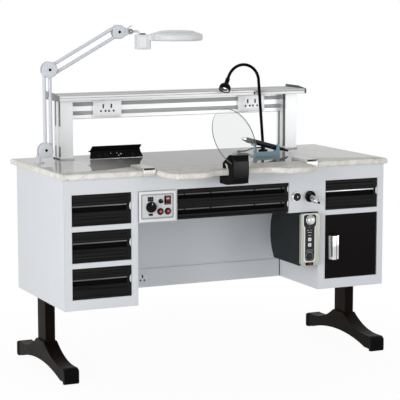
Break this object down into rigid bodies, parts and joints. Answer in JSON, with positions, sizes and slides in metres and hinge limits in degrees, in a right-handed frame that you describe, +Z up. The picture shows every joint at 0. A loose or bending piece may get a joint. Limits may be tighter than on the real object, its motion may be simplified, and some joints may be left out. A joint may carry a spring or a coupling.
{
  "type": "dental lab bench",
  "caption": "Technician's bench with stone top, drawer pedestals on T-legs, rear outlet rail, magnifier lamp, suction hood with glass shield and built-in controls.",
  "frame": {"origin": "on the floor, under the middle of the stone top's outline", "axes": "+X to the seated user's right, +Y from the user to the rear rail, +Z up"},
  "size_m": [1.4, 0.76, 1.3383],
  "materials": {
    "painted_steel": "satin light grey-white powder coat",
    "black_steel": "satin black",
    "black_front": "satin black fluted extrusion",
    "black_plastic": "satin black",
    "stone": "polished ivory with faint veins",
    "aluminium": "satin anodised",
    "chrome": "polished",
    "white_plastic": "satin",
    "lamp_white": "pale grey-white",
    "lamp_shell": "pale grey-white",
    "clear_glass": "clear",
    "silver_plastic": "silver",
    "dark_grey": "matt dark grey",
    "red_plastic": "glossy red",
    "blue_plastic": "translucent light blue",
    "rubber": "matt black"
  },
  "bodies": {
    "bench": {"legs": "black_steel", "foot_caps": "black_plastic", "left_cabinet": "painted_steel", "right_cabinet": "painted_steel", "front_apron": "painted_steel", "knee_panel": "painted_steel", "worktop": "stone", "armrest_sleeves": "chrome", "fascia_boxes": "painted_steel", "gun_holder": "black_plastic", "air_fittings": "chrome", "unit_shell": "dark_grey", "unit_front": "silver_plastic", "suction_mouth": "black_plastic", "suction_fan": "painted_steel", "posts": "aluminium", "cross_rail": "aluminium", "top_shelf": "aluminium", "frame_caps": "black_plastic", "socket_plates": "white_plastic", "gooseneck": "black_steel", "gooseneck_head": "black_plastic", "lamp_lead": "rubber", "lead_plug": "black_plastic", "handpiece_cradle": "blue_plastic", "handpiece": "black_plastic", "desk_socket_base": "black_plastic"},
    "left_upper_drawer": {"left_upper_drawer_front": "black_front", "left_upper_drawer_box": "painted_steel"},
    "left_middle_drawer": {"left_middle_drawer_front": "black_front", "left_middle_drawer_box": "painted_steel"},
    "left_lower_drawer": {"left_lower_drawer_front": "black_front", "left_lower_drawer_box": "painted_steel"},
    "right_drawer": {"right_drawer_front": "black_front", "right_drawer_box": "painted_steel"},
    "centre_drawer": {"centre_drawer_front": "black_front", "centre_drawer_box": "painted_steel"},
    "door": {"cupboard_door": "black_steel", "door_handle": "chrome"},
    "lamp_swivel": {"magnifier_base": "lamp_white"},
    "lower_left": {"lower_bar_left": "lamp_white"},
    "lower_right": {"lower_bar_right": "lamp_white"},
    "elbow": {"magnifier_elbow": "lamp_white"},
    "upper_near": {"upper_bar_near": "lamp_white"},
    "upper_far": {"upper_bar_far": "lamp_white"},
    "bracket": {"head_bracket": "lamp_white"},
    "head": {"magnifier_head": "lamp_shell", "magnifier_lens": "clear_glass"},
    "head_button": {"lamp_button": "white_plastic"},
    "shield": {"glass_shield": "clear_glass"},
    "socket_lid": {"desk_socket_lid": "black_plastic"},
    "speed_knob": {"unit_speed_knob": "silver_plastic"},
    "upper_key": {"unit_upper_key": "silver_plastic"},
    "lower_key": {"unit_lower_key": "silver_plastic"},
    "dial": {"main_dial": "black_plastic"},
    "knob": {"small_knob": "black_plastic"},
    "rocker": {"rocker_switch": "red_plastic"},
    "left_push": {"left_button": "red_plastic"},
    "right_push": {"right_button": "red_plastic"}
  },
  "joints": [
    {"name": "left_upper_drawer_slide", "type": "slide", "parent": "bench", "child": "left_upper_drawer", "axis": [0, -1, 0], "range_m": [0, 0.33]},
    {"name": "left_middle_drawer_slide", "type": "slide", "parent": "bench", "child": "left_middle_drawer", "axis": [0, -1, 0], "range_m": [0, 0.33]},
    {"name": "left_lower_drawer_slide", "type": "slide", "parent": "bench", "child": "left_lower_drawer", "axis": [0, -1, 0], "range_m": [0, 0.33]},
    {"name": "right_drawer_slide", "type": "slide", "parent": "bench", "child": "right_drawer", "axis": [0, -1, 0], "range_m": [0, 0.33]},
    {"name": "centre_drawer_slide", "type": "slide", "parent": "bench", "child": "centre_drawer", "axis": [0, -1, 0], "range_m": [0, 0.2]},
    {"name": "door_hinge", "type": "hinge", "parent": "bench", "child": "door", "pos_m": [0.6535, -0.211, 0.45], "axis": [0, 0, 1], "range_deg": [0, 95]},
    {"name": "lamp_swivel_turn", "type": "hinge", "parent": "bench", "child": "lamp_swivel", "pos_m": [-0.646, 0.178, 0.8], "axis": [0, 0, 1], "range_deg": [-100, 100]},
    {"name": "lower_arm", "type": "hinge", "parent": "lamp_swivel", "child": "lower_left", "pos_m": [-0.6195, 0.178, 0.85], "axis": [0, 1, 0], "range_deg": [-30, 40]},
    {"name": "lower_arm_pair", "type": "hinge", "parent": "lamp_swivel", "child": "lower_right", "pos_m": [-0.5955, 0.178, 0.842], "axis": [0, 1, 0], "range_deg": [-31, 41]},
    {"name": "elbow_level", "type": "hinge", "parent": "lower_left", "child": "elbow", "pos_m": [-0.6215, 0.178, 1.151], "axis": [0, 1, 0], "range_deg": [-41, 31]},
    {"name": "upper_arm", "type": "hinge", "parent": "elbow", "child": "upper_near", "pos_m": [-0.581, 0.178, 1.1494], "axis": [0, 1, 0], "range_deg": [-35, 28]},
    {"name": "upper_arm_pair", "type": "hinge", "parent": "elbow", "child": "upper_far", "pos_m": [-0.6052, 0.178, 1.1742], "axis": [0, 1, 0], "range_deg": [-36, 29]},
    {"name": "bracket_level", "type": "hinge", "parent": "upper_near", "child": "bracket", "pos_m": [-0.2946, 0.178, 1.3055], "axis": [0, 1, 0], "range_deg": [-29, 36]},
    {"name": "head_tilt", "type": "hinge", "parent": "bracket", "child": "head", "pos_m": [-0.2587, 0.178, 1.3109], "axis": [0, 1, 0], "range_deg": [-45, 45]},
    {"name": "head_button_press", "type": "slide", "parent": "head", "child": "head_button", "axis": [0, 0, -1], "range_m": [0, 0.002], "stiffness_N_per_m": 300},
    {"name": "shield_lift", "type": "slide", "parent": "bench", "child": "shield", "axis": [-0.1699, 0.3643, 0.9157], "range_m": [0, 0.05]},
    {"name": "socket_lid_fold", "type": "hinge", "parent": "bench", "child": "socket_lid", "pos_m": [-0.299, 0.248, 0.828], "axis": [1, 0, 0], "range_deg": [0, 68]},
    {"name": "speed_knob_turn", "type": "hinge", "parent": "bench", "child": "speed_knob", "pos_m": [0.341, -0.24, 0.569], "axis": [0, -1, 0], "range_deg": [-140, 140]},
    {"name": "upper_key_press", "type": "slide", "parent": "bench", "child": "upper_key", "axis": [0, 1, 0], "range_m": [0, 0.0015], "stiffness_N_per_m": 300},
    {"name": "lower_key_press", "type": "slide", "parent": "bench", "child": "lower_key", "axis": [0, 1, 0], "range_m": [0, 0.0015], "stiffness_N_per_m": 300},
    {"name": "dial_turn", "type": "hinge", "parent": "bench", "child": "dial", "pos_m": [-0.338, -0.225, 0.658], "axis": [0, -1, 0], "range_deg": [-150, 150]},
    {"name": "knob_turn", "type": "hinge", "parent": "bench", "child": "knob", "pos_m": [-0.299, -0.225, 0.679], "axis": [0, -1, 0], "range_deg": [-150, 150]},
    {"name": "rocker_tip", "type": "hinge", "parent": "bench", "child": "rocker", "pos_m": [-0.27, -0.222, 0.682], "axis": [1, 0, 0], "range_deg": [-8, 8]},
    {"name": "left_button_press", "type": "slide", "parent": "bench", "child": "left_push", "axis": [0, 1, 0], "range_m": [0, 0.003], "stiffness_N_per_m": 300},
    {"name": "right_button_press", "type": "slide", "parent": "bench", "child": "right_push", "axis": [0, 1, 0], "range_m": [0, 0.003], "stiffness_N_per_m": 300}
  ],
  "couplings": [
    {"joint": "lower_arm_pair", "follows": "lower_arm", "ratio": 1},
    {"joint": "elbow_level", "follows": "lower_arm", "ratio": -1},
    {"joint": "upper_arm_pair", "follows": "upper_arm", "ratio": 1},
    {"joint": "bracket_level", "follows": "upper_arm", "ratio": -1}
  ]
}
